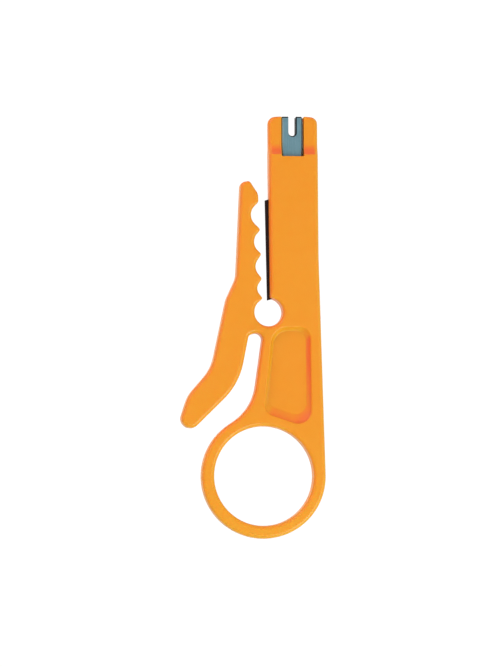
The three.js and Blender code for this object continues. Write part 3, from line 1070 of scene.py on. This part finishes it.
def brushed_steel(name, tones, roughness, rim=None):
    """Steel with fine brush lines, cloudy stains, rounded edges lighter as a painted highlight, and a
    third tone on side faces, which on the punch blade is painted shade.
    """
    paint = Paint(name)
    base, light, cut = tones
    lines = paint.noise(BRUSH_PER_MM, BRUSH_STRETCH, 3.0, 0.65)
    tone = paint.mix(paint.spread(lines, 0.35, 0.7, 0, 0.6), base, light)
    stains = paint.spread(paint.noise(STAINS_PER_MM, detail=4.0), 0.5, 0.8, 0, 0.45)
    tone = paint.mix(stains, tone, tuple(part * STAIN_SHADE for part in base))
    flat = paint.math("ABSOLUTE", paint.facing(FRONT))
    # Rounded edges lighter: a painted highlight.
    tone = paint.mix(paint.spread(flat, 0.8, 0.97, 0.8, 0), tone, light)
    # Side faces, and the rim where it is given, take the third tone: on the punch blade, painted shade.
    sides_and_shade = paint.spread(flat, 0.1, 0.4, 1, 0)
    if rim is not None:
        sides_and_shade = paint.math("MAXIMUM", sides_and_shade, rim(paint))
    surface = {
        "Base Color": paint.mix(sides_and_shade, tone, cut),
        "Metallic": 0.75,
        "Roughness": paint.spread(lines, 0.3, 0.7, roughness - 0.07, roughness + 0.09),
        "Normal": paint.bump(lines, BRUSH_DEPTH),
    }
    return paint.finish(paint.add("BsdfPrincipled", surface).outputs[0])


# ---- Studio ----

BACKDROP_GLOW = 1.05
FLOOR_SIZE = 2.0
FLOOR_DROP = 0.00005
WORLD_SKY = 0.36
WORLD_GROUND = 1.05
KEY_POWER = 4.4
KEY_COLOR = (0.88, 1.0, 0.85)
KEY_PLACE = (0.4, -0.4, 0.6)  # from the middle of the tool
KEY_SIZE = 0.5
FILL_POWER = 3.1
FILL_COLOR = (1.0, 0.55, 0.45)
FILL_PLACE = (-0.45, 0.45, 0.4)
FILL_SIZE = 0.6


def floor_material():
    """A pale floor that only the camera sees, and only from above, so that it never darkens the part."""
    paint = Paint("pale_floor")
    glow = paint.add("Emission", {"Color": (1, 1, 1, 1), "Strength": BACKDROP_GLOW}).outputs[0]
    clear = paint.add("BsdfTransparent").outputs[0]
    seen = paint.add("LightPath").outputs["Is Camera Ray"]
    below = paint.add("NewGeometry").outputs["Backfacing"]
    shown = paint.math("MULTIPLY", seen, paint.math("SUBTRACT", 1.0, below))
    return paint.finish(paint.add("MixShader", {0: shown, 1: clear, 2: glow}).outputs[0])


def make_floor():
    """A flat sheet just under the tool."""
    solid = bmesh.new()
    bmesh.ops.create_grid(solid, x_segments=1, y_segments=1, size=FLOOR_SIZE / 2)
    mesh = bpy.data.meshes.new("floor")
    solid.to_mesh(mesh)
    solid.free()
    floor = bpy.data.objects.new("floor", mesh)
    floor.location.z = cad_box[0].z - FLOOR_DROP
    mesh.materials.append(floor_material())
    bpy.context.scene.collection.objects.link(floor)


def make_world():
    """Soft light from all round, stronger from below. The camera sees plain white instead."""
    world = bpy.data.worlds.new("studio")
    world.use_nodes = True
    tree = world.node_tree
    direction = tree.nodes.new("ShaderNodeTexCoord")
    split = tree.nodes.new("ShaderNodeSeparateXYZ")
    level = tree.nodes.new("ShaderNodeMapRange")
    level.inputs["From Min"].default_value = -1
    level.inputs["To Min"].default_value = WORLD_GROUND
    level.inputs["To Max"].default_value = WORLD_SKY
    tree.links.new(direction.outputs["Generated"], split.inputs[0])
    tree.links.new(split.outputs["Z"], level.inputs["Value"])
    shown = tree.nodes.new("ShaderNodeMix")
    shown.inputs["B"].default_value = BACKDROP_GLOW
    tree.links.new(tree.nodes.new("ShaderNodeLightPath").outputs["Is Camera Ray"], shown.inputs["Factor"])
    tree.links.new(level.outputs[0], shown.inputs["A"])
    background = tree.nodes["Background"]
    background.inputs["Color"].default_value = (1, 1, 1, 1)
    tree.links.new(shown.outputs[0], background.inputs["Strength"])
    bpy.context.scene.world = world


def area_light(name, away, size, power, color):
    """A square softbox that faces the middle of the tool."""
    light = bpy.data.lights.new(name, "AREA")
    light.size = size
    light.energy = power
    light.color = color
    lamp = bpy.data.objects.new(name, light)
    middle = (cad_box[0] + cad_box[1]) / 2
    lamp.location = middle + Vector(away)
    lamp.rotation_euler = (-Vector(away)).to_track_quat("-Z", "Y").to_euler()
    bpy.context.scene.collection.objects.link(lamp)


CAMERA_DISTANCE = 0.8
CAMERA_LEFT = math.radians(5)
CAMERA_DOWN = math.radians(3)
VIEW_HEIGHT = 0.1487  # at the tool's middle
VIEW_OFFSET = Vector((-0.0006, -0.00127, 0))


def make_camera():
    """Looks down on the tool's front face, from a little to the left and towards the finger ring."""
    data = bpy.data.cameras.new("camera")
    data.sensor_width = 36
    data.lens = data.sensor_width * CAMERA_DISTANCE / VIEW_HEIGHT
    data.clip_start = 0.01
    camera = bpy.data.objects.new("camera", data)
    target = Vector((0, 0, (cad_box[0].z + cad_box[1].z) / 2)) + VIEW_OFFSET
    back = Vector((-math.tan(CAMERA_LEFT), -math.tan(CAMERA_DOWN), 1)).normalized()
    right = Vector((0, 1, 0)).cross(back).normalized()
    camera.matrix_world = Matrix((right, back.cross(right), back)).transposed().to_4x4()
    camera.location = target + back * CAMERA_DISTANCE
    bpy.context.scene.collection.objects.link(camera)
    bpy.context.scene.camera = camera


# ---- Putting it together ----


def dress(piece, material, node):
    """Gives a piece its material and slot, and hides the CAD node that it stands in for."""
    piece.data.materials.append(material)
    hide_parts(node)


plastic = orange_plastic()
handle, web, jaw = moulding_shells()
dress(handle, plastic, "handle_body")
dress(web, plastic, "hinge_web")
dress(jaw, plastic, "jaw_arm")
punch = punch_blade()
punch_paint = brushed_steel("punch_steel", PUNCH_TONES, PUNCH_ROUGHNESS, punch_painted_shade)
dress(punch, punch_paint, "punch_blade")
strip = strip_blade()
strip_paint = brushed_steel("dark_blade_steel", BLADE_TONES, BLADE_ROUGHNESS)
dress(strip, strip_paint, "strip_blade")
for piece, body in ((handle, "frame"), (jaw, "jaw"), (punch, "frame"), (strip, "frame")):
    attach(piece, body)

bend_end, bend_start = (Vector((*(PIVOT + ALONG * cut), SHAPE["middle"])) * MM for cut in CUTS)
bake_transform(web, "frame", "jaw", start=bend_start, end=bend_end)

make_floor()
make_world()
area_light("key_light", KEY_PLACE, KEY_SIZE, KEY_POWER, KEY_COLOR)
area_light("fill_light", FILL_PLACE, FILL_SIZE, FILL_POWER, FILL_COLOR)
make_camera()

view = bpy.context.scene.view_settings
view.view_transform = "Standard"
view.look = "None"
